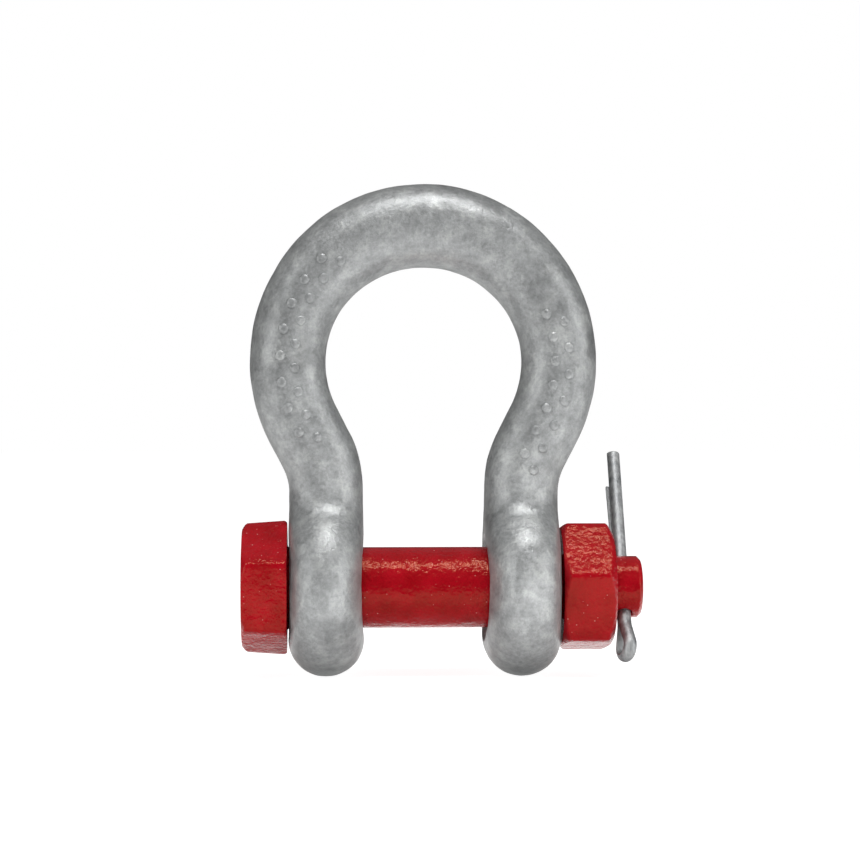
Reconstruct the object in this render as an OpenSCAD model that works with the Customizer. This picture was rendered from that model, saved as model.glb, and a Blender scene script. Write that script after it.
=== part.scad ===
// Bow shackle with a hexagon-head safety bolt, a nut and a split pin. Millimetres.
// X runs along the bolt, from its head towards its nut. Z runs up to the bow's crown.
// The origin is on the bolt's axis, midway between the two eyes.

/* [Bow] */
// Diameter of the round stock at the bow's sides
stock_d = 19.8; // [14:0.1:26]
// Thickness of the crown, which the forging leaves heavier than the sides
crown_t = 22; // [16:0.1:30]
// Clear width inside the bow at its widest
bow_w = 51.6; // [46:0.2:70]
// Clear height from the bow's widest point to the inside of the crown
crown_rise = 24.8; // [20:0.1:34]
// Angle at which the sides lean in towards the legs
side_lean = 27; // [22:1:31]
// Radius of the bend that turns each side back into a straight leg
neck_r = 24; // [18:0.5:28]
// Diameter of each leg above its eye
leg_d = 19.4; // [14:0.1:26]
// Height of the straight legs above the bolt's axis
leg_l = 25.2; // [20:0.1:50]

/* [Eyes] */
// Clear width between the two eyes
jaw_w = 31.4; // [26:0.1:36]
// Diameter of each eye
eye_d = 46.4; // [40:0.1:56]
// Thickness of each eye
eye_t = 19.8; // [16:0.1:26]
// Radius of the hollow where each leg spreads into its eye
eye_fillet_r = 10; // [4:0.5:16]
// How far the eye's faces stay flat, where 1 leaves its rim as round as a bar of the eye's thickness
eye_flatness = 1.1; // [0.5:0.05:1.4]
// Play between the bolt and each eye's hole, on the diameter
hole_play = 2.4; // [0.4:0.1:4]
// Width of the break on the inner and outer edge of each hole
hole_edge = 1.2; // [0.2:0.1:1.5]

/* [Bolt] */
// Diameter of the plain shank
shank_d = 21.2; // [20.4:0.1:26]
// Width of the head across its flats
head_af = 31.4; // [27:0.1:40]
// Thickness of the head
head_t = 11.8; // [6:0.1:16]
// Radius of the hollow between the head and the shank
head_fillet_r = 0.8; // [0.2:0.1:1]
// Turn of the head's corners about the bolt's axis
head_turn = 24; // [0:1:60]
// Play along the bolt between the head, the eyes and the nut, on each side
side_play = 0.3; // [0.1:0.05:1]
// Outer diameter of the thread
thread_d = 20; // [18:0.1:20.4]
// Distance from one thread crest to the next
thread_pitch = 2.5; // [1.5:0.5:3]
// Diameter of the plain tip beyond the thread
tip_d = 16.2; // [10:0.1:16.6]
// Length of the plain tip
tip_l = 7.6; // [7:0.1:16]
// Width of the chamfer round the tip's end
tip_chamfer = 1; // [0.2:0.1:2]
// Distance from the nut's outer face to the middle of the split pin's hole
pin_setback = 2.8; // [2.6:0.1:4.2]

/* [Nut] */
// Width of the nut across its flats
nut_af = 31.2; // [27:0.1:40]
// Thickness of the nut
nut_t = 13.8; // [8:0.1:24]
// Turn of the nut's corners about the bolt's axis
nut_turn = 13; // [0:1:60]
// Radial clearance between the two threads
thread_gap = 0.2; // [0.1:0.05:0.4]

/* [Split pin] */
// Diameter of the closed pair of legs
pin_d = 3.6; // [2.4:0.1:4]
// Play between the legs and the cross hole, on the diameter
pin_play = 1.2; // [1:0.1:1.6]
// Reach of the long leg from the bolt's axis
long_leg = 41; // [24:0.5:60]
// Reach of the short leg from the bolt's axis
short_leg = 30.5; // [20:0.5:50]
// Clear radius inside the pin's eye
pin_eye_r = 2; // [1.6:0.1:3]
// Clear length between the bolt's tip and the place where the wires part into the eye
pin_stand_off = 2.4; // [0:0.1:6]
// Angle at which the wires lean out from the legs into the eye
pin_eye_lean = 20; // [15:1:30]
// Bend radius where the wires leave the legs
pin_shoulder_r = 6; // [4:0.5:8]
// Sideways slip of each leg's free end from the pin's centre line
leg_slip = 0.45; // [0:0.05:0.5]
// Tilt of the pin away from upright, about the bolt's axis
pin_tilt = 32; // [0:1:90]
// Turn of the pin's eye about the pin's own axis
pin_turn = 18; // [0:1:45]

/* [Hidden] */
$fn = 96;

GALVANISED = "#A9ABAB";
RED_PAINT = "#B01820";
ZINC = "#BFC3C6";

shank_r = shank_d / 2;
stock_r = stock_d / 2;
leg_r = leg_d / 2;
eye_r = eye_d / 2;
leg_x = jaw_w / 2 + eye_t / 2;

// The bow's centre line: a side arc, a straight that leans in, and a neck bend into the leg
side_r = bow_w / 2 + stock_r;
lean_x = side_r * cos(side_lean) - neck_r * (1 - cos(side_lean));
straight_l = (lean_x - leg_x) / sin(side_lean);
widest_z = leg_l + (side_r + neck_r) * sin(side_lean) + straight_l * cos(side_lean);
crown_outer_rise = crown_rise + crown_t;

// The eye's round outline and the hollow between it and the leg, seen along the bolt
hollow_y = leg_r + eye_fillet_r;
hollow_z = sqrt(pow(eye_r + eye_fillet_r, 2) - pow(hollow_y, 2));
outline_z = hollow_z * eye_r / (eye_r + eye_fillet_r);
eye_round_z = eye_r - eye_t / 2;

// Fineness of the forging's surface
ROUND_STEPS = 32;
CROWN_STEPS = 30;
BEND_STEPS = 5;
EYE_STEPS = 9;
TOE_STEPS = 6;

// Fineness of the split pin's wire
WIRE_ROUND_STEPS = 12;
WIRE_EYE_STEPS = 10;
WIRE_BEND_STEPS = 4;

// Along the bolt
head_face_x = -(jaw_w / 2 + eye_t + side_play);
nut_face_x = -head_face_x;
nut_end_x = nut_face_x + nut_t;
tip_end_x = nut_end_x + tip_l;
pin_x = nut_end_x + pin_setback;
hole_d = shank_d + hole_play;

// The thread, drawn as closed ridges without a helix so that its nut can turn in place
crest_r = thread_d / 2;
root_r = crest_r - 0.61 * thread_pitch;
thread_relief = 0.3;
thread_x = nut_face_x + 2 * thread_relief;
ridges = floor((nut_end_x - thread_relief - thread_x) / thread_pitch);
thread_end_x = thread_x + ridges * thread_pitch;

// How far the chamfers reach in from the corners, on the side that bears and on the outer side
head_low_cut = 0.5;
head_high_cut = 3.2;
nut_low_cut = 2.6;
nut_high_cut = 3.6;

// Along the split pin, from the bolt's axis towards the ends of its legs
pin_r = pin_d / 2;
pin_hole_d = pin_d + pin_play;
wire_gap = 0.1;
flat_r = pin_eye_r + wire_gap;
shoulder_out = wire_gap + pin_shoulder_r * (1 - cos(pin_eye_lean));
wire_straight = (flat_r * cos(pin_eye_lean) - shoulder_out) / sin(pin_eye_lean);
legs_start = -(tip_d / 2 + pin_stand_off);
pin_eye_reach = -legs_start + wire_straight * cos(pin_eye_lean)
    + (pin_shoulder_r + flat_r) * sin(pin_eye_lean);

function smooth(t) = let (k = min(max(t, 0), 1)) k * k * (3 - 2 * k);

// Half the depth of the forging along Y, at a height on the legs and eyes
function half_depth(z) =
    z > hollow_z ? leg_r :
    z > outline_z ? hollow_y - sqrt(pow(eye_fillet_r, 2) - pow(hollow_z - z, 2)) :
    sqrt(max(pow(eye_r, 2) - pow(z, 2), 0));

// Half the thickness along X, at a height on the legs and eyes
function half_thickness(z) =
    z > -eye_round_z ? leg_r + (eye_t / 2 - leg_r) * smooth((hollow_z - z) / hollow_z) :
    sqrt(max(pow(eye_t / 2, 2) - pow(z + eye_round_z, 2), 0));

// A station is [inner edge, outer edge, half depth], for the side with positive X.
// The edges are [x, z] points.
crown_half = [for (i = [0 : CROWN_STEPS / 2]) let (a = 90 - 180 * i / CROWN_STEPS)
    [
        [bow_w / 2 * cos(a), widest_z + crown_rise * sin(a)],
        [(bow_w / 2 + stock_d) * cos(a), widest_z + crown_outer_rise * sin(a)],
        stock_r
    ]];

side_bend = [for (i = [1 : BEND_STEPS]) let (a = -side_lean * i / BEND_STEPS)
    [
        [bow_w / 2 * cos(a), widest_z + bow_w / 2 * sin(a)],
        [(bow_w / 2 + stock_d) * cos(a), widest_z + (bow_w / 2 + stock_d) * sin(a)],
        stock_r
    ]];

neck_bend = [for (i = [0 : BEND_STEPS])
    let (
        a = side_lean * (1 - i / BEND_STEPS),
        r = stock_r + (leg_r - stock_r) * i / BEND_STEPS,
        middle_x = leg_x + neck_r * (1 - cos(a)),
        middle_z = leg_l + neck_r * sin(a)
    )
    [
        [middle_x - r * cos(a), middle_z + r * sin(a)],
        [middle_x + r * cos(a), middle_z - r * sin(a)],
        max(r, half_depth(middle_z))
    ]];

function level(z) = [
    [leg_x - half_thickness(z), z],
    [leg_x + half_thickness(z), z],
    half_depth(z)
];

upper_eye = [for (i = [1 : EYE_STEPS]) level(leg_l + (outline_z / 2 - leg_l) * i / EYE_STEPS)];
lower_eye = [for (i = [1 : EYE_STEPS]) level(outline_z / 2 - (outline_z / 2 + eye_round_z) * i / EYE_STEPS)];
toe = [for (i = [1 : TOE_STEPS]) level(-eye_round_z - eye_t / 2 * sin(90 * i / (TOE_STEPS + 1)))];

half_bow = concat(crown_half, side_bend, neck_bend, upper_eye, lower_eye, toe);

function mirrored(s) = [[-s[0][0], s[0][1]], [-s[1][0], s[1][1]], s[2]];

// Every station from the toe of one eye, over the crown, to the toe of the other
bow_stations = concat(
    [for (i = [len(half_bow) - 1 : -1 : 1]) mirrored(half_bow[i])],
    half_bow
);

function rounded(v, power) = sign(v) * pow(abs(v), power);

// One ring of points round a station. A section deeper than it is thick gets flat faces.
function ring(s) = [for (k = [0 : ROUND_STEPS - 1])
    let (
        a = 360 * k / ROUND_STEPS,
        middle = (s[0] + s[1]) / 2,
        reach = (s[1] - s[0]) / 2,
        u = cos(a),
        v = rounded(sin(a), pow(min(norm(reach) / s[2], 1), eye_flatness))
    )
    [middle[0] + u * reach[0], v * s[2], middle[1] + u * reach[1]]];

// The bare forging, before its holes are made
module forging() {
    rings = len(bow_stations);
    last_ring = (rings - 1) * ROUND_STEPS;
    toe_tips = [[-leg_x, 0, -eye_r], [leg_x, 0, -eye_r]];
    walls = [for (i = [0 : rings - 2], k = [0 : ROUND_STEPS - 1])
        let (n = (k + 1) % ROUND_STEPS, a = i * ROUND_STEPS, b = a + ROUND_STEPS)
        [a + k, b + k, b + n, a + n]];
    first_tip = [for (k = [0 : ROUND_STEPS - 1])
        [rings * ROUND_STEPS, k, (k + 1) % ROUND_STEPS]];
    last_tip = [for (k = [0 : ROUND_STEPS - 1])
        [rings * ROUND_STEPS + 1, last_ring + (k + 1) % ROUND_STEPS, last_ring + k]];
    polyhedron(
        points = concat([for (s = bow_stations) each ring(s)], toe_tips),
        faces = concat(walls, first_tip, last_tip)
    );
}

// Turns a shape drawn up the Z axis so that it runs along the bolt
module along_bolt(x = 0) {
    translate([x, 0, 0]) rotate([0, 90, 0]) children();
}

// The hole through one eye, with the edges at both ends broken
module eye_hole(x) {
    along_bolt(x - eye_t) cylinder(d = hole_d, h = 2 * eye_t);
    for (end = [-1, 1]) {
        along_bolt(x + end * (eye_t / 2 - hole_edge)) mirror([0, 0, end < 0 ? 1 : 0])
            cylinder(r1 = hole_d / 2, r2 = hole_d / 2 + 2 * hole_edge, h = 2 * hole_edge);
    }
}

module bow() {
    color(GALVANISED) difference() {
        forging();
        for (side = [-1, 1]) eye_hole(side * leg_x);
    }
}

// A hexagon standing on Z = 0, with its corners chamfered at both ends.
// The cuts are how far each chamfer reaches in from a corner.
module chamfered_hexagon(af, height, low_cut, high_cut, turn) {
    corner_r = af / 2 / cos(30);
    slope = tan(30);
    intersection() {
        rotate([0, 0, -90 - turn]) cylinder(r = corner_r, h = height, $fn = 6);
        rotate_extrude() polygon([
            [0, 0],
            [corner_r - low_cut, 0],
            [corner_r + 1, (low_cut + 1) * slope],
            [corner_r + 1, height - (high_cut + 1) * slope],
            [corner_r - high_cut, height],
            [0, height]
        ]);
    }
}

// Outline of the thread's ridges, as [radius, x] points, grown outwards by a gap
function thread_outline(gap) = [
    for (i = [0 : ridges - 1], p = [0 : 3])
    let (middle = thread_x + (i + 0.5) * thread_pitch)
    [
        gap + (p == 0 || p == 3 ? root_r : crest_r),
        middle + thread_pitch * [-7, -1, 1, 7][p] / 16
    ]
];

module bolt() {
    head_hollow = [
        [0, head_face_x - 1],
        [shank_r + head_fillet_r, head_face_x - 1],
        [shank_r + head_fillet_r, head_face_x],
        [shank_r, head_face_x + head_fillet_r]
    ];
    shoulder = [
        [shank_r, nut_face_x - 2 * thread_relief],
        [root_r, nut_face_x - thread_relief]
    ];
    tip = [
        [tip_d / 2, thread_end_x + thread_relief],
        [tip_d / 2, tip_end_x - tip_chamfer],
        [tip_d / 2 - tip_chamfer, tip_end_x],
        [0, tip_end_x]
    ];
    color(RED_PAINT) difference() {
        union() {
            along_bolt(head_face_x) mirror([0, 0, 1])
                chamfered_hexagon(head_af, head_t, head_low_cut, head_high_cut, head_turn);
            along_bolt() rotate_extrude()
                polygon(concat(head_hollow, shoulder, thread_outline(0), tip));
        }
        translate([pin_x, 0, 0]) rotate([-pin_tilt, 0, 0])
            cylinder(d = pin_hole_d, h = 2 * tip_d, center = true);
    }
}

module nut() {
    mouth_r = crest_r + thread_gap;
    color(RED_PAINT) difference() {
        along_bolt(nut_face_x) chamfered_hexagon(nut_af, nut_t, nut_low_cut, nut_high_cut, nut_turn);
        along_bolt() rotate_extrude() polygon(concat(
            [[0, nut_face_x - 1], [mouth_r + 1, nut_face_x - 1], [root_r + thread_gap, thread_x]],
            thread_outline(thread_gap),
            [[root_r + thread_gap, thread_end_x], [mouth_r, nut_end_x], [mouth_r, nut_end_x + 1]],
            [[0, nut_end_x + 1]]
        ));
    }
}

// A wire station is [middle of the flat, direction of the round back], both as [x, y, z].
// These run from the bottom of the pin's eye up one side to the end of a leg.
function wire_stations(leg_end, slip) = concat(
    [for (i = [0 : WIRE_EYE_STEPS])
        let (a = -90 + (90 + pin_eye_lean) * i / WIRE_EYE_STEPS, back = [cos(a), 0, sin(a)])
        [flat_r * back - [0, 0, pin_eye_reach], back]],
    [for (i = [0 : WIRE_BEND_STEPS])
        let (a = pin_eye_lean * (1 - i / WIRE_BEND_STEPS), back = [cos(a), 0, sin(a)])
        [[wire_gap + pin_shoulder_r, 0, legs_start] - pin_shoulder_r * back, back]],
    [[[wire_gap, slip, leg_end], [1, 0, 0]]]
);

function flipped(station) = [for (v = station) [-v[0], v[1], v[2]]];

// The half-round section of the wire at one station
function wire_ring(station) = [for (k = [0 : WIRE_ROUND_STEPS])
    let (a = 180 * k / WIRE_ROUND_STEPS)
    station[0] + pin_r * (sin(a) * station[1] + [0, cos(a), 0])];

// The split pin in its own frame: legs up Z, eye below, opening in the XZ plane
module folded_wire() {
    long_side = wire_stations(long_leg, leg_slip);
    short_side = wire_stations(short_leg, -leg_slip);
    stations = concat(
        [for (i = [len(short_side) - 1 : -1 : 1]) flipped(short_side[i])],
        long_side
    );
    around = WIRE_ROUND_STEPS + 1;
    last_ring = (len(stations) - 1) * around;
    walls = [for (i = [0 : len(stations) - 2], k = [0 : around - 1])
        let (n = (k + 1) % around, a = i * around, b = a + around)
        [a + k, b + k, b + n, a + n]];
    first_end = [for (k = [0 : around - 1]) k];
    last_end = [for (k = [around - 1 : -1 : 0]) last_ring + k];
    polyhedron(
        points = [for (s = stations) each wire_ring(s)],
        faces = concat(walls, [first_end, last_end])
    );
}

module split_pin() {
    color(ZINC) translate([pin_x, 0, 0]) rotate([-pin_tilt, 0, 0]) rotate([0, 0, pin_turn - 90])
        folded_wire();
}

bow();
bolt();
nut();
split_pin();
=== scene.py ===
"""A bow shackle with its safety bolt: the look of the galvanised forging, red enamel and zinc wire."""

import math

import bmesh
import bpy
import numpy as np
from mathutils import Matrix, Vector


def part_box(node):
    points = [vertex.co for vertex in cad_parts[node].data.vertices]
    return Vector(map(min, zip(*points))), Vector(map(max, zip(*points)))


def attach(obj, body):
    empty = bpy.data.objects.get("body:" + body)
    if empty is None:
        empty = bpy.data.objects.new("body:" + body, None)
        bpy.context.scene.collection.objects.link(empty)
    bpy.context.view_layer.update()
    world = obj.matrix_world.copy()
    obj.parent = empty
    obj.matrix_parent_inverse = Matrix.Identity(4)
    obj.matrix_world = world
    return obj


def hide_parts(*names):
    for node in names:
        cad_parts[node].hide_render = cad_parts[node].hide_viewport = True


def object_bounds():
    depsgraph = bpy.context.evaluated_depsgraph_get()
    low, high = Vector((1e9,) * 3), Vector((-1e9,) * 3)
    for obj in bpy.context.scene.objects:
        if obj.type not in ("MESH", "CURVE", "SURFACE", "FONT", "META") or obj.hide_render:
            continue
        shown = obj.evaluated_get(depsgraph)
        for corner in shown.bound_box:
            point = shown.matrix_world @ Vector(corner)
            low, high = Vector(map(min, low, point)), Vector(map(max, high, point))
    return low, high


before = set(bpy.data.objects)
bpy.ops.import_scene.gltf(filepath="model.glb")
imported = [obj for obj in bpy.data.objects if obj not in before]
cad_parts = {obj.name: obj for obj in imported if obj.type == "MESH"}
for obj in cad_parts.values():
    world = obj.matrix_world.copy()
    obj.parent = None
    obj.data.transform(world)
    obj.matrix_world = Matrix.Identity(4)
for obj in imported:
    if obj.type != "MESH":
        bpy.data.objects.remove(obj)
cad_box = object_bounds()

MM = 0.001

# The bow's bar, in mm. The overall sizes come from the frame, the rest is what it was forged to.
bow_low, bow_high = (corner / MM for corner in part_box("bow"))
BOW_WIDTH = bow_high.x - bow_low.x
EYE_R = (bow_high.y - bow_low.y) / 2
STOCK = 19.8
CROWN_THICK = 22.0
CROWN_RISE = 24.8
SIDE_LEAN = 27.0
NECK_R = 24.0
LEG = 19.4
LEG_TOP = 25.2
JAW = 31.4
EYE_THICK = 19.8
EYE_FILLET_R = 10.0
EYE_FLATNESS = 1.1
EYE_INNER_FLATNESS = 0.6
HOLE_R = 11.8
HOLE_RIM_R = 2.8

# How finely each stretch of the bow is cut into sections
CROWN_CUTS = 73
SIDE_CUTS = 19
LEAN_CUTS = 10
NECK_CUTS = 22
LEG_CUTS = 71
TOE_CUTS = 25

# The forging's uneven skin and its pips, in mm and degrees. A pip run is measured along the bow from its top.
LUMP_SIZE = 9
LUMP_HEIGHT = 0.5
LUMP_SEED = 4.0
PIP_R = 1.35
PIP_HEIGHT = 0.55
PIP_RUNS = ((-78, -22), (43, 86))
PIP_SPACING = 3.3
PIP_STAGGER = 11

# The safety bolt and its nut, in mm
bolt_low, bolt_high = (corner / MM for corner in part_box("bolt"))
nut_low, nut_high = (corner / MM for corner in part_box("nut"))
HEAD_THICK = 11.8
HEAD_FACE = bolt_low.x + HEAD_THICK
SHANK_R = 10.6
HEAD_ACROSS = 31.4
HEAD_TURN = 24.0
HEAD_DRAFT = 4.0
HEAD_BEARING_CUT = 0.9
HEAD_OUTER_CUT = 2.8
HEAD_FILLET_R = 0.8
NUT_ACROSS = 31.2
NUT_TURN = 13.0
NUT_BEARING_CUT = 2.6
NUT_OUTER_CUT = 3.6
CHAMFER_ANGLE = 30
FLAT_SOFTNESS = 0.9
CREST_R = 10.0
THREAD_PITCH = 2.5
THREAD_DEPTH = 0.61 * THREAD_PITCH
THREAD_ROOT_R = CREST_R - THREAD_DEPTH
THREAD_RUN_IN = 0.6
THREAD_RUN_OUT = 0.3
THREAD_GAP = 0.2
TIP_R = 8.1
TIP_CHAMFER = 1.0

# The split pin, in mm. It leans with the hole through the bolt's tip.
PIN_R = 1.8
PIN_SETBACK = 2.8
PIN_X = nut_high.x + PIN_SETBACK
PIN_HOLE_R = 2.4
PIN_TILT = 32.0
PIN_TURN = 18.0
PIN_LONG_LEG = 41.0
PIN_SHORT_LEG = 30.5
PIN_EYE_R = 2.1
PIN_EYE_LEAN = 20.0
PIN_SHOULDER_R = 6.0
PIN_HALF_GAP = 0.1
PIN_SLIP = 0.45
PIN_STAND_OFF = 2.4


# ---------------------------------------------------------------- small tools

def linear(hex_colour):
    """An sRGB hex colour as the linear red, green, blue and alpha that Blender's nodes take."""
    shares = [int(hex_colour[i:i + 2], 16) / 255 for i in (1, 3, 5)]
    return [s / 12.92 if s <= 0.04045 else ((s + 0.055) / 1.055) ** 2.4 for s in shares] + [1.0]


def per_mm(size):
    """The scale of a pattern whose features are that many mm wide."""
    return 1 / (size * MM)


def add(tree, kind, inputs=None, stops=(), **settings):
    """Adds one node. Inputs are named or numbered sockets, each with a value, a socket or a node to link.
    Stops are the places and hex colours along a colour ramp."""
    made = tree.nodes.new(kind)
    for name, value in settings.items():
        setattr(made, name, value)
    for socket, value in (inputs or {}).items():
        if isinstance(value, bpy.types.Node):
            value = next(o for o in value.outputs if o.enabled)
        if isinstance(value, bpy.types.NodeSocket):
            tree.links.new(value, made.inputs[socket])
        else:
            made.inputs[socket].default_value = value
    if stops:
        elements = made.color_ramp.elements
        while len(elements) < len(stops):
            elements.new(0.5)
        for element, (place, colour) in zip(elements, stops):
            element.position = place
            element.color = linear(colour)
    return made


def piece_from(name, bm):
    """A mesh object from finished bmesh data, smooth, with its faces pointing outwards."""
    bmesh.ops.recalc_face_normals(bm, faces=bm.faces)
    mesh = bpy.data.meshes.new(name)
    bm.to_mesh(mesh)
    bm.free()
    mesh.shade_smooth()
    made = bpy.data.objects.new(name, mesh)
    bpy.context.scene.collection.objects.link(made)
    return made


def settled(obj):
    """Turns an object and its modifiers into one plain mesh."""
    evaluated = obj.evaluated_get(bpy.context.evaluated_depsgraph_get())
    mesh = bpy.data.meshes.new_from_object(evaluated)
    obj.modifiers.clear()
    obj.data = mesh
    mesh.name = obj.name
    return obj


def soft_min(a, b, softness):
    """The smaller of two values, blended over a width of softness where they are close."""
    share = np.clip(0.5 + 0.5 * (b - a) / softness, 0, 1)
    return b + (a - b) * share - softness * share * (1 - share)


def ease(t):
    """A share from 0 to 1 that starts and ends gently."""
    t = min(max(t, 0.0), 1.0)
    return t * t * (3 - 2 * t)


# ---------------------------------------------------------------- the swept bar of bow and split pin

def spine_object(name, stations):
    """A line of edges through the middles of a bar's sections, each carrying what its section needs.
    A station is the section's middle, its reach to the outer side and its depth sideways. The deeper a
    section is for its thickness, the flatter its faces are."""
    middles, reaches, depths = (np.array(column, float) for column in zip(*stations))
    slimness = np.linalg.norm(reaches, axis=1) / np.maximum(np.linalg.norm(depths, axis=1), 1e-6)
    mesh = bpy.data.meshes.new(name)
    mesh.from_pydata(middles * MM, [(i, i + 1) for i in range(len(stations) - 1)], [])
    for label, values in (("middle", middles), ("reach", reaches), ("depth", depths)):
        stored = mesh.attributes.new(label, "FLOAT_VECTOR", "POINT")
        stored.data.foreach_set("vector", (values * MM).ravel())
    for label, flatness in (("outer_roundness", EYE_FLATNESS), ("inner_roundness", EYE_INNER_FLATNESS)):
        stored = mesh.attributes.new(label, "FLOAT", "POINT")
        stored.data.foreach_set("value", np.minimum(slimness, 1) ** flatness)
    made = bpy.data.objects.new(name, mesh)
    bpy.context.scene.collection.objects.link(made)
    return made


def new_tree(name, inputs):
    """An empty Geometry Nodes tree with these named inputs, its group input and its group output."""
    tree = bpy.data.node_groups.new(name, "GeometryNodeTree")
    tree.is_modifier = True
    for label, kind in inputs.items():
        tree.interface.new_socket(label, in_out="INPUT", socket_type="NodeSocket" + kind)
    tree.interface.new_socket("Geometry", in_out="OUTPUT", socket_type="NodeSocketGeometry")
    return tree, add(tree, "NodeGroupInput"), tree.nodes.new("NodeGroupOutput")


def run_tree(obj, tree, **values):
    """Puts a tree on an object with its named inputs set, and turns the result into a plain mesh."""
    modifier = obj.modifiers.new(tree.name, "NODES")
    modifier.node_group = tree
    for item in tree.interface.items_tree:
        key = item.name.lower().replace(" ", "_")
        if item.in_out == "INPUT" and key in values:
            modifier[item.identifier] = values[key]
    return settled(obj)


def swept_bar_tree():
    """Sweeps a rounded section along a spine. Lowest Side cuts the section's inner side flat: -1 leaves it
    whole and 0 leaves a half round."""
    tree, given, result = new_tree("swept_bar", {
        "Spine": "Geometry", "Sides": "Int", "Lowest Side": "Float", "Fill Ends": "Bool",
        "Finish": "Material",
    })

    circle = add(tree, "GeometryNodeCurvePrimitiveCircle", {"Resolution": given.outputs["Sides"]})
    share = add(tree, "GeometryNodeSplineParameter").outputs["Factor"]
    section = add(tree, "GeometryNodeStoreNamedAttribute",
                  {"Geometry": circle, "Name": "turn", "Value": share}, data_type="FLOAT", domain="POINT")
    line = add(tree, "GeometryNodeMeshToCurve", {"Mesh": given.outputs["Spine"]})
    skin = add(tree, "GeometryNodeCurveToMesh",
               {"Curve": line, "Profile Curve": section, "Fill Caps": given.outputs["Fill Ends"]})

    kinds = {"turn": "FLOAT", "outer_roundness": "FLOAT", "inner_roundness": "FLOAT",
             "middle": "FLOAT_VECTOR", "reach": "FLOAT_VECTOR", "depth": "FLOAT_VECTOR"}
    held = {}
    for label, kind in kinds.items():
        stored = add(tree, "GeometryNodeInputNamedAttribute", {"Name": label}, data_type=kind)
        held[label] = stored.outputs["Attribute"]

    # On a flat-faced section the points crowd towards the faces, where they spread out again when it is
    # shaped
    even = add(tree, "ShaderNodeMath", {0: held["turn"], 1: math.tau}, operation="MULTIPLY")
    even_cosine = add(tree, "ShaderNodeMath", {0: even}, operation="COSINE")
    faces_out = add(tree, "ShaderNodeMath", {0: even_cosine, 1: 0.0}, operation="GREATER_THAN")
    roundness = add(tree, "ShaderNodeMix", {0: faces_out, 2: held["inner_roundness"],
                                            3: held["outer_roundness"]}).outputs[0]
    flatness = add(tree, "ShaderNodeMath", {0: 1.0, 1: roundness}, operation="SUBTRACT")
    crowding = add(tree, "ShaderNodeMath", {0: flatness, 1: 0.72}, operation="MULTIPLY")
    twice = add(tree, "ShaderNodeMath", {0: even, 1: 2.0}, operation="MULTIPLY")
    wave = add(tree, "ShaderNodeMath", {0: twice}, operation="SINE")
    pull = add(tree, "ShaderNodeMath", {0: crowding, 1: wave}, operation="MULTIPLY")
    angle = add(tree, "ShaderNodeMath", {0: even, 1: pull}, operation="SUBTRACT")
    cosine = add(tree, "ShaderNodeMath", {0: angle}, operation="COSINE")
    outward = add(tree, "ShaderNodeMath", {0: cosine, 1: given.outputs["Lowest Side"]}, operation="MAXIMUM")
    sine = add(tree, "ShaderNodeMath", {0: angle}, operation="SINE")
    height = add(tree, "ShaderNodeMath", {0: sine}, operation="ABSOLUTE")
    flattened = add(tree, "ShaderNodeMath", {0: height, 1: roundness}, operation="POWER")
    side = add(tree, "ShaderNodeMath", {0: sine}, operation="SIGN")
    sideways = add(tree, "ShaderNodeMath", {0: flattened, 1: side}, operation="MULTIPLY")

    reach = add(tree, "ShaderNodeVectorMath", {0: held["reach"], "Scale": outward}, operation="SCALE")
    depth = add(tree, "ShaderNodeVectorMath", {0: held["depth"], "Scale": sideways}, operation="SCALE")
    offset = add(tree, "ShaderNodeVectorMath", {0: reach, 1: depth}, operation="ADD")
    place = add(tree, "ShaderNodeVectorMath", {0: held["middle"], 1: offset}, operation="ADD")
    shaped = add(tree, "GeometryNodeSetPosition", {"Geometry": skin, "Position": place})
    closed = add(tree, "GeometryNodeMergeByDistance", {"Geometry": shaped, "Distance": 0.02 * MM})
    smooth = add(tree, "GeometryNodeSetShadeSmooth", {"Geometry": closed})
    whole = add(tree, "GeometryNodeRealizeInstances", {"Geometry": smooth})
    painted = add(tree, "GeometryNodeSetMaterial", {"Geometry": whole, "Material": given.outputs["Finish"]})
    tree.links.new(painted.outputs[0], result.inputs[0])
    return tree


def outwards(obj):
    """Turns every face of a closed mesh to point outwards."""
    bm = bmesh.new()
    bm.from_mesh(obj.data)
    bmesh.ops.recalc_face_normals(bm, faces=bm.faces)
    bm.to_mesh(obj.data)
    bm.free()
    return obj


# ---------------------------------------------------------------- the bow

LEG_X = JAW / 2 + EYE_THICK / 2
STOCK_R = STOCK / 2
LEG_R = LEG / 2
BOW_R = BOW_WIDTH / 2 - STOCK
SIDE_R = BOW_R + STOCK_R
SIDE_LEAN_RAD = math.radians(SIDE_LEAN)
LEAN_X = SIDE_R * math.cos(SIDE_LEAN_RAD) - NECK_R * (1 - math.cos(SIDE_LEAN_RAD)) - LEG_X
LEAN_LENGTH = LEAN_X / math.sin(SIDE_LEAN_RAD)
WIDEST_Z = LEG_TOP + (SIDE_R + NECK_R) * math.sin(SIDE_LEAN_RAD) + LEAN_LENGTH * math.cos(SIDE_LEAN_RAD)
HOLLOW_Y = LEG_R + EYE_FILLET_R
HOLLOW_Z = math.sqrt((EYE_R + EYE_FILLET_R) ** 2 - HOLLOW_Y ** 2)
OUTLINE_Z = HOLLOW_Z * EYE_R / (EYE_R + EYE_FILLET_R)
TOE_Z = EYE_R - EYE_THICK / 2


def half_depth(z):
    """Half the forging's depth from front to back, at a height on a leg or eye."""
    if z > HOLLOW_Z:
        return LEG_R
    if z > OUTLINE_Z:
        return HOLLOW_Y - math.sqrt(EYE_FILLET_R ** 2 - (HOLLOW_Z - z) ** 2)
    return math.sqrt(max(EYE_R ** 2 - z ** 2, 0))


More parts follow.
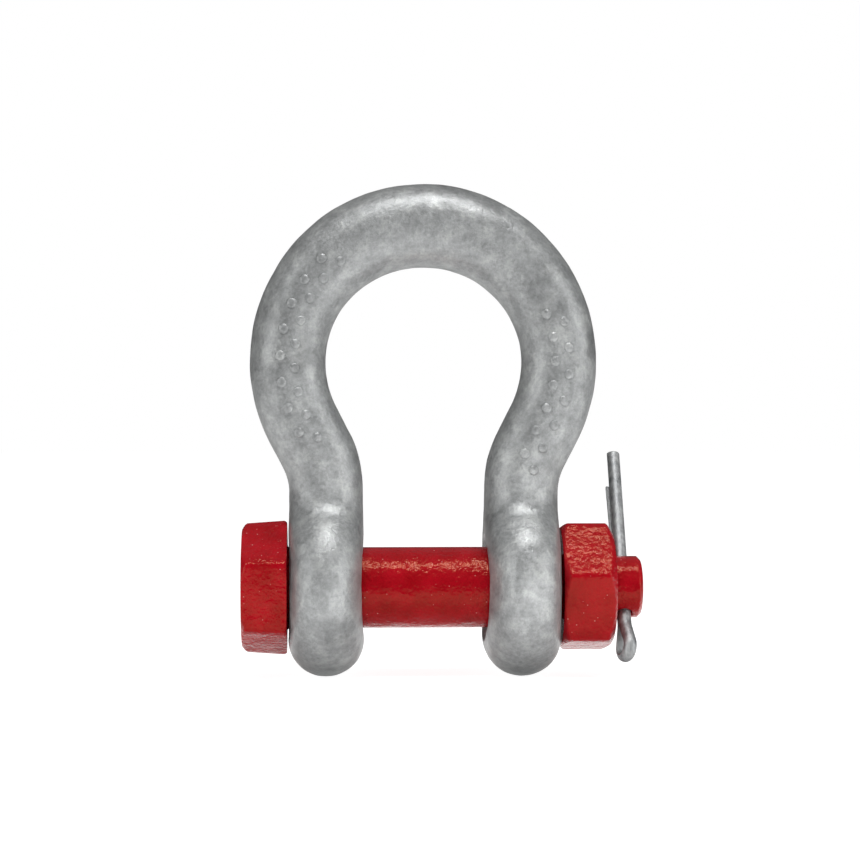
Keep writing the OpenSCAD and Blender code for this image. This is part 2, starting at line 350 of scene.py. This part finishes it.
def half_thickness(z):
    """Half the forging's thickness along the bolt, at a height on a leg or eye."""
    if z > -TOE_Z:
        return LEG_R + (EYE_THICK / 2 - LEG_R) * ease((HOLLOW_Z - z) / HOLLOW_Z)
    return math.sqrt(max((EYE_THICK / 2) ** 2 - (z + TOE_Z) ** 2, 0))


def half_bow():
    """Stations from the top of the crown, down the side with positive X, to the toe of its eye."""
    cut = []

    def between(inner, outer, depth):
        inner, outer = (Vector((x, 0, z)) for x, z in (inner, outer))
        cut.append(((inner + outer) / 2, (outer - inner) / 2, Vector((0, depth, 0))))

    for a in np.radians(np.linspace(90, 0, CROWN_CUTS)):
        between((BOW_R * math.cos(a), WIDEST_Z + CROWN_RISE * math.sin(a)),
                ((BOW_R + STOCK) * math.cos(a), WIDEST_Z + (CROWN_RISE + CROWN_THICK) * math.sin(a)), STOCK_R)
    for a in np.radians(np.linspace(0, -SIDE_LEAN, SIDE_CUTS)[1:]):
        between(*((r * math.cos(a), WIDEST_Z + r * math.sin(a)) for r in (BOW_R, BOW_R + STOCK)), STOCK_R)
    start = (SIDE_R * math.cos(SIDE_LEAN_RAD), WIDEST_Z - SIDE_R * math.sin(SIDE_LEAN_RAD))
    end = (LEG_X + NECK_R * (1 - math.cos(SIDE_LEAN_RAD)), LEG_TOP + NECK_R * math.sin(SIDE_LEAN_RAD))
    across = (STOCK_R * math.cos(SIDE_LEAN_RAD), -STOCK_R * math.sin(SIDE_LEAN_RAD))
    for i in range(1, LEAN_CUTS):
        x, z = (p + (q - p) * (i / LEAN_CUTS) for p, q in zip(start, end))
        between((x - across[0], z - across[1]), (x + across[0], z + across[1]), STOCK_R)
    for i in range(NECK_CUTS + 1):
        a = SIDE_LEAN_RAD * (1 - i / NECK_CUTS)
        r = STOCK_R + (LEG_R - STOCK_R) * i / NECK_CUTS
        x, z = LEG_X + NECK_R * (1 - math.cos(a)), LEG_TOP + NECK_R * math.sin(a)
        between((x - r * math.cos(a), z + r * math.sin(a)), (x + r * math.cos(a), z - r * math.sin(a)),
                max(r, half_depth(z)))
    heights = np.concatenate([
        np.linspace(LEG_TOP, -TOE_Z, LEG_CUTS)[1:],
        -TOE_Z - EYE_THICK / 2 * np.sin(np.radians(np.linspace(0, 90, TOE_CUTS)[1:])),
    ])
    for z in heights:
        half = half_thickness(z)
        between((LEG_X - half, z), (LEG_X + half, z), half_depth(z))
    return cut


def bow_stations():
    """Every station from the toe of one eye, over the crown, to the toe of the other."""
    right = half_bow()
    left = [(Vector((-m.x, 0, m.z)), Vector((-r.x, 0, r.z)), d) for m, r, d in right]
    return left[:0:-1] + right


# ---------------------------------------------------------------- turned pieces: hole cutter, bolt and nut

def filleted(corners, step=0.8):
    """A line through (x, radius, fillet) corners: each corner is rounded, and long stretches are divided."""
    points = [np.array(corners[0][:2], float)]
    for before, corner, after in zip(corners, corners[1:], corners[2:]):
        here = np.array(corner[:2], float)
        back, ahead = np.array(before[:2]) - here, np.array(after[:2]) - here
        back, ahead = back / np.linalg.norm(back), ahead / np.linalg.norm(ahead)
        half = math.acos(np.clip(back @ ahead, -1, 1)) / 2
        if corner[2] == 0 or half > math.radians(89):
            points.append(here)
            continue
        middle = here + (back + ahead) / np.linalg.norm(back + ahead) * corner[2] / math.sin(half)
        start = here + back * corner[2] / math.tan(half) - middle
        end = here + ahead * corner[2] / math.tan(half) - middle
        swing = math.acos(np.clip(start @ end / corner[2] ** 2, -1, 1))
        for share in np.linspace(0, 1, 9):
            points.append(middle + (start * math.sin((1 - share) * swing) + end * math.sin(share * swing))
                          / math.sin(swing))
    points.append(np.array(corners[-1][:2], float))
    line = [points[0]]
    for start, end in zip(points, points[1:]):
        parts = max(1, math.ceil(np.linalg.norm(end - start) / step))
        line += [start + (end - start) * i / parts for i in range(1, parts + 1)]
    return line


def turned(name, outline, across=0.0, turn=0.0, draft=0.0, hexagon=(1.0, -1.0), sides=288, ring=False):
    """A piece turned about the X axis from an (x, radius) outline. Between the two x values of hexagon it is
    held inside a hexagon that wide across its flats, with softened corners. The draft is the angle at which
    the flats close in from the second x value towards the first."""
    angles = np.linspace(0, math.tau, sides, endpoint=False)
    from_flat = np.mod(angles - math.radians(turn), math.pi / 3) - math.pi / 6
    flats = across / 2 / np.cos(from_flat)
    flats = soft_min(flats, np.full(sides, across / math.sqrt(3) - 0.05), FLAT_SOFTNESS)
    bm = bmesh.new()
    rings = []
    for x, radius in outline:
        radii = np.full(sides, radius)
        if hexagon[0] <= x <= hexagon[1]:
            closed_in = (hexagon[1] - x) * math.tan(math.radians(draft))
            radii = soft_min(radii, flats - closed_in, FLAT_SOFTNESS)
        if radius < 1e-6:
            rings.append([bm.verts.new((x * MM, 0, 0))])
        else:
            rings.append([bm.verts.new((x * MM, -r * math.cos(a) * MM, r * math.sin(a) * MM))
                          for a, r in zip(angles, radii)])
    pairs = list(zip(rings, rings[1:] + rings[:1])) if ring else list(zip(rings, rings[1:]))
    for one, two in pairs:
        for k in range(sides):
            n = (k + 1) % sides
            corners = [one[k % len(one)], one[n % len(one)], two[n % len(two)], two[k % len(two)]]
            bm.faces.new(list(dict.fromkeys(corners)))
    return piece_from(name, bm)


def thread(gap):
    """The thread's closed ridges, as corners of an outline from the nut's face to its far end."""
    first = nut_low.x + THREAD_RUN_IN
    ridges = math.floor((nut_high.x - THREAD_RUN_OUT - first) / THREAD_PITCH)
    corners = []
    for i in range(ridges):
        middle = first + (i + 0.5) * THREAD_PITCH
        for step, radius in ((-7, THREAD_ROOT_R), (-1, CREST_R), (1, CREST_R), (7, THREAD_ROOT_R)):
            corners.append((middle + THREAD_PITCH * step / 16, radius + gap, 0))
    return corners


def hexagon_side(face, end, across, bearing_cut, outer_cut):
    """Corners of a chamfered hexagon's outline, from its bearing face to its outer end. The cuts are how far
    the chamfers reach in from the hexagon's corners."""
    corner_r = across / math.sqrt(3)
    out = math.copysign(1, end - face)
    slope = out * math.tan(math.radians(CHAMFER_ANGLE))
    return [
        (face, corner_r - bearing_cut, 0.5),
        (face + (bearing_cut + 1) * slope, corner_r + 1, 0),
        (end - (outer_cut + 1) * slope, corner_r + 1, 0),
        (end, corner_r - outer_cut, 0.9),
    ]


def safety_bolt():
    """Head, shank, thread and tip, with the split pin's hole cut through the tip."""
    head = hexagon_side(HEAD_FACE, bolt_low.x, HEAD_ACROSS, HEAD_BEARING_CUT, HEAD_OUTER_CUT)[::-1]
    outline = filleted([(bolt_low.x, 0, 0), *head, (HEAD_FACE, SHANK_R, HEAD_FILLET_R),
                        (nut_low.x - 0.6, SHANK_R, 0.2), (nut_low.x - 0.3, THREAD_ROOT_R, 0), *thread(0),
                        (nut_high.x - 0.4, TIP_R, 0.1), (bolt_high.x - TIP_CHAMFER, TIP_R, 0.5),
                        (bolt_high.x, TIP_R - TIP_CHAMFER, 0.5), (bolt_high.x, 0, 0)])
    bolt = turned("safety_bolt", outline, HEAD_ACROSS, HEAD_TURN, HEAD_DRAFT,
                  hexagon=(bolt_low.x - 0.1, HEAD_FACE + 0.05))
    hole = turned("pin_hole", [(-20, 0), (-20, PIN_HOLE_R), (20, PIN_HOLE_R), (20, 0)], sides=48)
    tilt = Matrix.Rotation(-math.radians(PIN_TILT), 4, "X")
    upright = Matrix.Rotation(math.radians(90), 4, "Y")
    hole.data.transform(Matrix.Translation((PIN_X * MM, 0, 0)) @ tilt @ upright)
    return cut_out(bolt, hole)


def hexagon_nut():
    """The thick nut: a chamfered hexagon round a threaded bore with flared mouths."""
    mouth_r = CREST_R + THREAD_GAP
    bore = [(nut_low.x, mouth_r, 0.3), *thread(THREAD_GAP), (nut_high.x, mouth_r, 0.3)]
    outer = hexagon_side(nut_low.x, nut_high.x, NUT_ACROSS, NUT_BEARING_CUT, NUT_OUTER_CUT)
    middle = ((nut_low.x + nut_high.x) / 2, NUT_ACROSS, 0)
    loop = [middle, *outer[2:], *bore[::-1], *outer[:2], middle]
    return turned("hexagon_nut", filleted(loop)[:-1], NUT_ACROSS, NUT_TURN,
                  hexagon=(nut_low.x - 0.1, nut_high.x + 0.1), ring=True)


def cut_out(obj, cutter):
    """Cuts one object out of another and removes the cutter."""
    modifier = obj.modifiers.new("cut", "BOOLEAN")
    modifier.object = cutter
    modifier.solver = "EXACT"
    settled(obj)
    bpy.data.objects.remove(cutter)
    return obj


def eye_hole_cutter(x):
    """What is punched out of one eye: its hole, flaring at both ends into the rounded rim."""
    half = EYE_THICK / 2 - 0.3
    rim = 1.15 * HOLE_RIM_R
    mouth_r, flare_r = HOLE_R + rim * 0.6, HOLE_R + rim * 3
    return turned("eye_hole", filleted([
        (x - half - 4, 0, 0), (x - half - 4, flare_r, 0), (x - half, mouth_r, 0),
        (x - half + rim, HOLE_R, HOLE_RIM_R * 1.5), (x + half - rim, HOLE_R, HOLE_RIM_R * 1.5),
        (x + half, mouth_r, 0), (x + half + 4, flare_r, 0), (x + half + 4, 0, 0),
    ], step=0.7), sides=144)


# ---------------------------------------------------------------- the split pin

def pin_stations():
    """Stations of the folded half-round wire: from the end of its short leg, round the eye, to the end of its
    long leg."""
    lean = math.radians(PIN_EYE_LEAN)
    flat_r = PIN_EYE_R + PIN_HALF_GAP
    legs_start = -(TIP_R + PIN_STAND_OFF)
    shoulder_out = PIN_HALF_GAP + PIN_SHOULDER_R * (1 - math.cos(lean))
    straight = (flat_r * math.cos(lean) - shoulder_out) / math.sin(lean)
    eye_reach = -legs_start + straight * math.cos(lean) + (PIN_SHOULDER_R + flat_r) * math.sin(lean)
    stand = (Matrix.Translation((PIN_X, 0, 0)) @ Matrix.Rotation(-math.radians(PIN_TILT), 4, "X")
             @ Matrix.Rotation(math.radians(PIN_TURN - 90), 4, "Z"))

    def side(leg_end, slip):
        line = []
        for a in np.linspace(-math.pi / 2, lean, 25):
            back = Vector((math.cos(a), 0, math.sin(a)))
            line.append((flat_r * back - Vector((0, 0, eye_reach)), back, 1.0))
        for a in np.linspace(lean, 0, 13):
            back = Vector((math.cos(a), 0, math.sin(a)))
            shoulder = Vector((PIN_HALF_GAP + PIN_SHOULDER_R, 0, legs_start))
            line.append((shoulder - PIN_SHOULDER_R * back, back, 1.0))
        leg = leg_end - legs_start
        steps = [(share, 1.0) for share in np.linspace(0, 1 - 0.5 / leg, 40)[1:]]
        for short_by, size in steps + [(1 - 0.12 / leg, 0.99), (1 - 0.03 / leg, 0.96), (1.0, 0.92)]:
            line.append((Vector((PIN_HALF_GAP, slip * short_by, legs_start + leg * short_by)),
                         Vector((1, 0, 0)), size))
        return line

    long_side, short_side = side(PIN_LONG_LEG, PIN_SLIP), side(PIN_SHORT_LEG, -PIN_SLIP)
    flipped = [(Vector((-m.x, m.y, m.z)), Vector((-b.x, b.y, b.z)), s) for m, b, s in short_side]
    sweep = flipped[:0:-1] + long_side
    turn = stand.to_3x3()
    return [(stand @ middle, turn @ back * PIN_R * size, turn @ Vector((0, 1, 0)) * PIN_R * size)
            for middle, back, size in sweep]


# ---------------------------------------------------------------- materials

def new_material(name):
    """An empty material with its tree, its shader and the piece's own coordinates."""
    material = bpy.data.materials.new(name)
    material.use_nodes = True
    tree = material.node_tree
    tree.nodes.clear()
    shader = add(tree, "ShaderNodeBsdfPrincipled")
    add(tree, "ShaderNodeOutputMaterial", {"Surface": shader})
    return material, tree, shader, add(tree, "ShaderNodeTexCoord").outputs["Object"]


def galvanised_steel():
    """Hot-dip galvanised forged steel, dulled: soft grey clouds a few mm wide where the zinc froze at
    different rates, with a fine grainy skin that breaks up its highlights, small dark pits and pale flecks.
    Dull zinc is part oxide, so it is only half metallic."""
    material, tree, shader, place = new_material("hot_dip_galvanised_steel")
    clouds = add(tree, "ShaderNodeTexNoise",
                 {"Vector": place, "Scale": per_mm(4), "Detail": 5.0, "Roughness": 0.6})
    smudges = add(tree, "ShaderNodeTexNoise",
                  {"Vector": place, "Scale": per_mm(14), "Detail": 3.0, "Roughness": 0.55})
    grain = add(tree, "ShaderNodeTexNoise",
                {"Vector": place, "Scale": per_mm(0.9), "Detail": 4.0, "Roughness": 0.7})
    stretched = add(tree, "ShaderNodeVectorMath", {0: clouds.outputs[1], "Scale": 3 * MM}, operation="SCALE")
    wandering = add(tree, "ShaderNodeVectorMath", {0: place, 1: stretched}, operation="ADD")
    pits = add(tree, "ShaderNodeTexVoronoi", {"Vector": wandering, "Scale": per_mm(3.4), "Randomness": 1.0})

    zinc = add(tree, "ShaderNodeValToRGB", {0: clouds.outputs[0]},
               stops=((0.30, "#8E9090"), (0.50, "#A1A3A3"), (0.68, "#B3B5B4")))
    dark = add(tree, "ShaderNodeMapRange", {0: smudges.outputs[0], 1: 0.32, 2: 0.46, 3: 0.74, 4: 1.0})
    smudged = add(tree, "ShaderNodeMix", {0: 1.0, 6: zinc, 7: dark},
                  data_type="RGBA", blend_type="MULTIPLY").outputs[2]
    speckle = add(tree, "ShaderNodeValToRGB", {0: grain.outputs[0]},
                  stops=((0.30, "#8C8C8C"), (0.55, "#D8D8D8"), (0.75, "#FFFFFF")))
    speckled = add(tree, "ShaderNodeMix", {0: 0.5, 6: smudged, 7: speckle},
                   data_type="RGBA", blend_type="MULTIPLY").outputs[2]
    pit_depth = add(tree, "ShaderNodeMapRange",
                    {0: pits.outputs["Distance"], 1: 0.02, 2: 0.09, 3: 0.6, 4: 1.0})
    base = add(tree, "ShaderNodeMix", {0: pit_depth, 6: linear("#5C5E60"), 7: speckled}, data_type="RGBA")

    rough = add(tree, "ShaderNodeMapRange", {0: grain.outputs[0], 1: 0.3, 2: 0.7, 3: 0.30, 4: 0.50})
    height = add(tree, "ShaderNodeMath", {0: clouds.outputs[0], 1: 1.2}, operation="MULTIPLY")
    height = add(tree, "ShaderNodeMath", {0: grain.outputs[0], 1: 0.45, 2: height}, operation="MULTIPLY_ADD")
    height = add(tree, "ShaderNodeMath", {0: pit_depth, 1: 0.25, 2: height}, operation="MULTIPLY_ADD")
    bump = add(tree, "ShaderNodeBump", {"Height": height, "Strength": 0.6, "Distance": 0.4 * MM})
    shader.inputs["Metallic"].default_value = 0.5
    tree.links.new(base.outputs[2], shader.inputs["Base Color"])
    tree.links.new(rough.outputs[0], shader.inputs["Roughness"])
    tree.links.new(bump.outputs[0], shader.inputs["Normal"])
    return material


def red_enamel(name):
    """Stoved red enamel over forged steel: a deep glossy red whose skin ripples like orange peel, with tiny
    pale specks of dust under the gloss. Its highlights are tinted towards orange."""
    material, tree, shader, place = new_material(name)
    tone = add(tree, "ShaderNodeTexNoise",
               {"Vector": place, "Scale": per_mm(6), "Detail": 4.0, "Roughness": 0.55})
    peel = add(tree, "ShaderNodeTexNoise",
               {"Vector": place, "Scale": per_mm(1.3), "Detail": 2.0, "Roughness": 0.5})
    waves = add(tree, "ShaderNodeTexNoise", {"Vector": place, "Scale": per_mm(7), "Detail": 1.0})
    specks = add(tree, "ShaderNodeTexVoronoi", {"Vector": place, "Scale": per_mm(1.9), "Randomness": 1.0})
    paint = add(tree, "ShaderNodeValToRGB", {0: tone.outputs[0]},
                stops=((0.32, "#920713"), (0.52, "#9E0918"), (0.70, "#A80C1D")))
    where = add(tree, "ShaderNodeMath", {0: tone.outputs[0], 1: 0.45}, operation="GREATER_THAN")
    near = add(tree, "ShaderNodeMapRange", {0: specks.outputs["Distance"], 1: 0.04, 2: 0.10, 3: 1.0, 4: 0.0})
    near = add(tree, "ShaderNodeMath", {0: near, 1: where}, operation="MULTIPLY")
    near = add(tree, "ShaderNodeMath", {0: near, 1: 0.55}, operation="MULTIPLY")
    base = add(tree, "ShaderNodeMix", {0: near, 6: paint, 7: linear("#F0B8B0")}, data_type="RGBA")

    height = add(tree, "ShaderNodeMath", {0: waves.outputs[0], 1: 2.5}, operation="MULTIPLY")
    height = add(tree, "ShaderNodeMath", {0: peel.outputs[0], 1: 1.4, 2: height}, operation="MULTIPLY_ADD")
    height = add(tree, "ShaderNodeMath", {0: near, 1: 0.2, 2: height}, operation="MULTIPLY_ADD")
    bump = add(tree, "ShaderNodeBump", {"Height": height, "Strength": 0.8, "Distance": 0.3 * MM})
    shader.inputs["Roughness"].default_value = 0.20
    shader.inputs["Specular IOR Level"].default_value = 0.26
    shader.inputs["Specular Tint"].default_value = linear("#FFB884")
    shader.inputs["Coat Weight"].default_value = 0.06
    shader.inputs["Coat Roughness"].default_value = 0.05
    tree.links.new(base.outputs[2], shader.inputs["Base Color"])
    tree.links.new(bump.outputs[0], shader.inputs["Normal"])
    tree.links.new(bump.outputs[0], shader.inputs["Coat Normal"])
    return material


def zinc_wire():
    """Zinc-plated drawn wire: dull mid grey with darker streaks along it and a slightly cloudy plating."""
    material, tree, shader, place = new_material("zinc_plated_wire")
    along = add(tree, "ShaderNodeMapping",
                {"Vector": place, "Rotation": (math.radians(PIN_TILT), 0, 0), "Scale": (1, 1, 0.12)})
    streaks = add(tree, "ShaderNodeTexNoise",
                  {"Vector": along, "Scale": per_mm(0.7), "Detail": 3.0, "Roughness": 0.6})
    clouds = add(tree, "ShaderNodeTexNoise",
                 {"Vector": place, "Scale": per_mm(3), "Detail": 4.0, "Roughness": 0.6})
    zinc = add(tree, "ShaderNodeValToRGB", {0: clouds.outputs[0]},
               stops=((0.35, "#8F9293"), (0.50, "#A8AAAB"), (0.65, "#BCBEBE")))
    shade = add(tree, "ShaderNodeMapRange", {0: streaks.outputs[0], 1: 0.35, 2: 0.6, 3: 0.7, 4: 1.0})
    base = add(tree, "ShaderNodeMix", {0: 1.0, 6: zinc, 7: shade}, data_type="RGBA", blend_type="MULTIPLY")
    rough = add(tree, "ShaderNodeMapRange", {0: clouds.outputs[0], 1: 0.3, 2: 0.7, 3: 0.42, 4: 0.60})
    height = add(tree, "ShaderNodeMath", {0: clouds.outputs[0], 1: 3.0, 2: streaks.outputs[0]},
                 operation="MULTIPLY_ADD")
    bump = add(tree, "ShaderNodeBump", {"Height": height, "Strength": 0.4, "Distance": 0.08 * MM})
    shader.inputs["Metallic"].default_value = 0.8
    tree.links.new(base.outputs[2], shader.inputs["Base Color"])
    tree.links.new(rough.outputs[0], shader.inputs["Roughness"])
    tree.links.new(bump.outputs[0], shader.inputs["Normal"])
    return material


# ---------------------------------------------------------------- the pieces in place

def forging_finish_tree():
    """Gives the swept forging its punched eye holes, its uneven skin and its raised pips."""
    tree, given, result = new_tree("forging_finish", {
        "Forging": "Geometry", "Holes": "Object",
        "Lump Size": "Float", "Lump Height": "Float", "Seed": "Float",
        "Pip Line": "Object", "Pip Radius": "Float", "Pip Height": "Float", "Finish": "Material",
    })
    holes = add(tree, "GeometryNodeObjectInfo", {"Object": given.outputs["Holes"]})
    punched = add(tree, "GeometryNodeMeshBoolean",
                  {"Mesh 1": given.outputs["Forging"], "Mesh 2": holes.outputs["Geometry"]},
                  operation="DIFFERENCE", solver="EXACT")
    fineness = add(tree, "ShaderNodeMath", {0: 1.0, 1: given.outputs["Lump Size"]}, operation="DIVIDE")
    lumps = add(tree, "ShaderNodeTexNoise",
                {"W": given.outputs["Seed"], "Scale": fineness, "Detail": 2.0}, noise_dimensions="4D")
    centred = add(tree, "ShaderNodeMath", {0: lumps.outputs[0], 1: 0.5}, operation="SUBTRACT")
    height = add(tree, "ShaderNodeMath", {0: centred, 1: given.outputs["Lump Height"]}, operation="MULTIPLY")
    normal = add(tree, "GeometryNodeInputNormal")
    shift = add(tree, "ShaderNodeVectorMath", {0: normal.outputs[0], "Scale": height}, operation="SCALE")
    uneven = add(tree, "GeometryNodeSetPosition", {"Geometry": punched.outputs["Mesh"], "Offset": shift})

    line = add(tree, "GeometryNodeObjectInfo", {"Object": given.outputs["Pip Line"]})
    facing = add(tree, "GeometryNodeInputNamedAttribute", {"Name": "facing"}, data_type="FLOAT_VECTOR")
    turned_to = add(tree, "FunctionNodeAlignRotationToVector",
                    {"Vector": facing.outputs["Attribute"]}, axis="Z")
    dome = add(tree, "GeometryNodeMeshUVSphere", {"Segments": 24, "Rings": 16, "Radius": 1.0})
    size = add(tree, "ShaderNodeCombineXYZ", {0: given.outputs["Pip Radius"], 1: given.outputs["Pip Radius"],
                                              2: given.outputs["Pip Height"]})
    pips = add(tree, "GeometryNodeInstanceOnPoints",
               {"Points": line.outputs["Geometry"], "Instance": dome, "Rotation": turned_to, "Scale": size})
    both = add(tree, "GeometryNodeJoinGeometry")
    tree.links.new(pips.outputs[0], both.inputs[0])
    tree.links.new(uneven.outputs[0], both.inputs[0])
    whole = add(tree, "GeometryNodeRealizeInstances", {"Geometry": both})
    smooth = add(tree, "GeometryNodeSetShadeSmooth", {"Geometry": whole})
    painted = add(tree, "GeometryNodeSetMaterial", {"Geometry": smooth, "Material": given.outputs["Finish"]})
    tree.links.new(painted.outputs[0], result.inputs[0])
    return tree


def pip_line(stations):
    """Where the plain raised pips sit: in two staggered rows down the front of both sides of the bow."""
    middles, reaches, depths = (np.array([s[i] for s in stations], float) for i in range(3))
    lengths = np.concatenate([[0], np.cumsum(np.linalg.norm(np.diff(middles, axis=0), axis=1))])
    top = lengths[len(stations) // 2]
    points, facings = [], []
    for start, end in PIP_RUNS:
        for k, along in enumerate(np.arange(start, end, PIP_SPACING)):
            middle, reach, depth = (
                np.array([np.interp(top + along, lengths, part[:, axis]) for axis in range(3)])
                for part in (middles, reaches, depths)
            )
            a = math.radians(-90 + (PIP_STAGGER if k % 2 else -PIP_STAGGER))
            out = reach * math.cos(a) + depth * math.sin(a)
            points.append(middle + out)
            facings.append(out / np.linalg.norm(out))
    mesh = bpy.data.meshes.new("pip_line")
    mesh.from_pydata(np.array(points) * MM, [], [])
    stored = mesh.attributes.new("facing", "FLOAT_VECTOR", "POINT")
    stored.data.foreach_set("vector", np.array(facings).ravel())
    made = bpy.data.objects.new("pip_line", mesh)
    bpy.context.scene.collection.objects.link(made)
    return made


def forged_bow(bar, finish):
    """The bow: swept to shape, its eyes punched, its skin made uneven and its pips raised."""
    stations = bow_stations()
    bow = outwards(run_tree(spine_object("forged_bow", stations), bar,
                            sides=96, lowest_side=-1.0, finish=finish))
    cutters = [eye_hole_cutter(x) for x in (-LEG_X, LEG_X)]
    both = bmesh.new()
    for cutter in cutters:
        both.from_mesh(cutter.data)
        bpy.data.objects.remove(cutter)
    holes = piece_from("eye_holes", both)
    pips = pip_line(stations)
    run_tree(bow, forging_finish_tree(), holes=holes, lump_size=LUMP_SIZE * MM, lump_height=LUMP_HEIGHT * MM,
             seed=LUMP_SEED, pip_line=pips, pip_radius=PIP_R * MM, pip_height=PIP_HEIGHT * MM, finish=finish)
    for helper in (holes, pips):
        bpy.data.objects.remove(helper)
    if max(corner[2] for corner in bow.bound_box) < bow_high.z * MM * 0.98:
        raise RuntimeError("the bow's crown is missing")
    return bow


def fitted(piece, body):
    """A finished piece takes the place of its CAD node."""
    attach(piece, body)
    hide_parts(body)
    return piece


bar = swept_bar_tree()
bow = fitted(forged_bow(bar, galvanised_steel()), "bow")
for piece, body in ((safety_bolt(), "bolt"), (hexagon_nut(), "nut")):
    piece.data.materials.clear()
    piece.data.materials.append(red_enamel("red_enamel_" + body))
    fitted(piece, body)
wire = run_tree(spine_object("split_pin_wire", pin_stations()), bar,
                sides=40, lowest_side=0.0, fill_ends=True, finish=zinc_wire())
fitted(outwards(wire), "split_pin")


# ---------------------------------------------------------------- floor, light and camera

def pale_floor():
    """A plain pale studio floor level with the underside of the eyes, wide enough to run out of sight. The
    camera sees it even and white. In reflections it glows with painted light in bands across its depth: the
    white bands put the broad highlights on the steel and the paint, and the grey band just in front of and
    under the object is a painted shadow of it."""
    bm = bmesh.new()
    bmesh.ops.create_grid(bm, x_segments=1, y_segments=1, size=6)
    bmesh.ops.translate(bm, verts=bm.verts, vec=(0, 0, cad_box[0].z))
    floor = piece_from("studio_floor", bm)
    material, tree, shader, place = new_material("matt_white_floor")
    depth = add(tree, "ShaderNodeSeparateXYZ", {0: place}).outputs[1]
    share = add(tree, "ShaderNodeMapRange", {0: depth, 1: -0.25, 2: 0.15})
    # Painted light seen only in reflections: white bands are painted highlights, the grey band under the
    # object is its painted shadow, and the floor is darker far in front
    painted_light_bands = add(tree, "ShaderNodeValToRGB", {0: share},
                stops=((0.0, "#404040"), (0.30, "#585858"), (0.38, "#FFFFFF"), (0.53, "#FFFFFF"),
                       (0.57, "#808080"), (0.62, "#909090"), (0.67, "#FFFFFF"), (1.0, "#808080")))
    mirrored = add(tree, "ShaderNodeMath", {0: painted_light_bands, 1: 1.3}, operation="MULTIPLY")
    seen = add(tree, "ShaderNodeLightPath").outputs["Is Camera Ray"]
    glow = add(tree, "ShaderNodeMix", {0: seen, 2: mirrored, 3: 0.9}).outputs[0]
    shader.inputs["Base Color"].default_value = linear("#BCBCBC")
    shader.inputs["Roughness"].default_value = 0.9
    shader.inputs["Specular IOR Level"].default_value = 0.0
    shader.inputs["Emission Color"].default_value = (1, 1, 1, 1)
    tree.links.new(glow, shader.inputs["Emission Strength"])
    floor.data.materials.append(material)


def soft_light(name, place, aim, size, power, only=None):
    """A rectangular soft box, in metres, turned towards a point. Where a piece is given, it lights that
    alone."""
    lamp = bpy.data.lights.new(name, "AREA")
    lamp.shape = "RECTANGLE"
    lamp.size, lamp.size_y = size
    lamp.energy = power
    made = bpy.data.objects.new(name, lamp)
    made.location = place
    made.rotation_mode = "QUATERNION"
    made.rotation_quaternion = (Vector(aim) - Vector(place)).to_track_quat("-Z", "Y")
    made.visible_camera = False
    bpy.context.scene.collection.objects.link(made)
    if only:
        lit = bpy.data.collections.new(name + "_lights")
        lit.objects.link(only)
        made.light_linking.receiver_collection = lit


def studio_air():
    """The room: white to look at behind the object, and a soft grey that brightens upwards as a light."""
    world = bpy.data.worlds.new("studio_air")
    bpy.context.scene.world = world
    world.use_nodes = True
    tree = world.node_tree
    tree.nodes.clear()
    direction = add(tree, "ShaderNodeTexCoord").outputs["Generated"]
    up = add(tree, "ShaderNodeSeparateXYZ", {0: direction}).outputs[2]
    share = add(tree, "ShaderNodeMapRange", {0: up, 1: -0.2, 2: 1.0})
    glow = add(tree, "ShaderNodeValToRGB", {0: share},
               stops=((0.0, "#303030"), (0.35, "#3A3A3A"), (1.0, "#A0A0A0")))
    seen = add(tree, "ShaderNodeLightPath").outputs["Is Camera Ray"]
    air = add(tree, "ShaderNodeMix", {0: seen, 6: glow, 7: linear("#FFFFFF")}, data_type="RGBA").outputs[2]
    back = add(tree, "ShaderNodeBackground", {"Color": air, "Strength": 1.0})
    add(tree, "ShaderNodeOutputWorld", {"Surface": back})


def camera():
    """Level with the middle of the bow, 0.6 m away and a little to the left."""
    turn = math.radians(2.8)
    distance = 0.6
    middle = Vector((1.7 * MM, 0, 41.4 * MM))
    lens = bpy.data.cameras.new("camera")
    lens.lens = 95.4
    lens.clip_start = 0.05
    made = bpy.data.objects.new("camera", lens)
    look = Vector((math.sin(turn), math.cos(turn), 0))
    made.location = middle - look * distance
    made.rotation_mode = "QUATERNION"
    made.rotation_quaternion = look.to_track_quat("-Z", "Y")
    bpy.context.scene.collection.objects.link(made)
    bpy.context.scene.camera = made


pale_floor()
studio_air()
soft_light("overhead", (0.05, -0.26, 0.75), (0, 0, 0.04), (0.6, 0.10), 4.3)
soft_light("left", (-0.90, -0.45, 0.30), (0, 0, 0.04), (0.6, 0.7), 3.5)
soft_light("right", (0.95, -0.40, 0.30), (0, 0, 0.04), (0.6, 0.7), 4)
soft_light("bow_front", (0.15, -0.75, 0.20), (0, 0, 0.05), (0.40, 0.40), 1.0, only=bow)
soft_light("bow_below", (0.06, -0.12, -0.02), (0.02, 0, 0.09), (0.20, 0.05), 0.12, only=bow)
camera()
bpy.context.scene.view_settings.view_transform = "Standard"
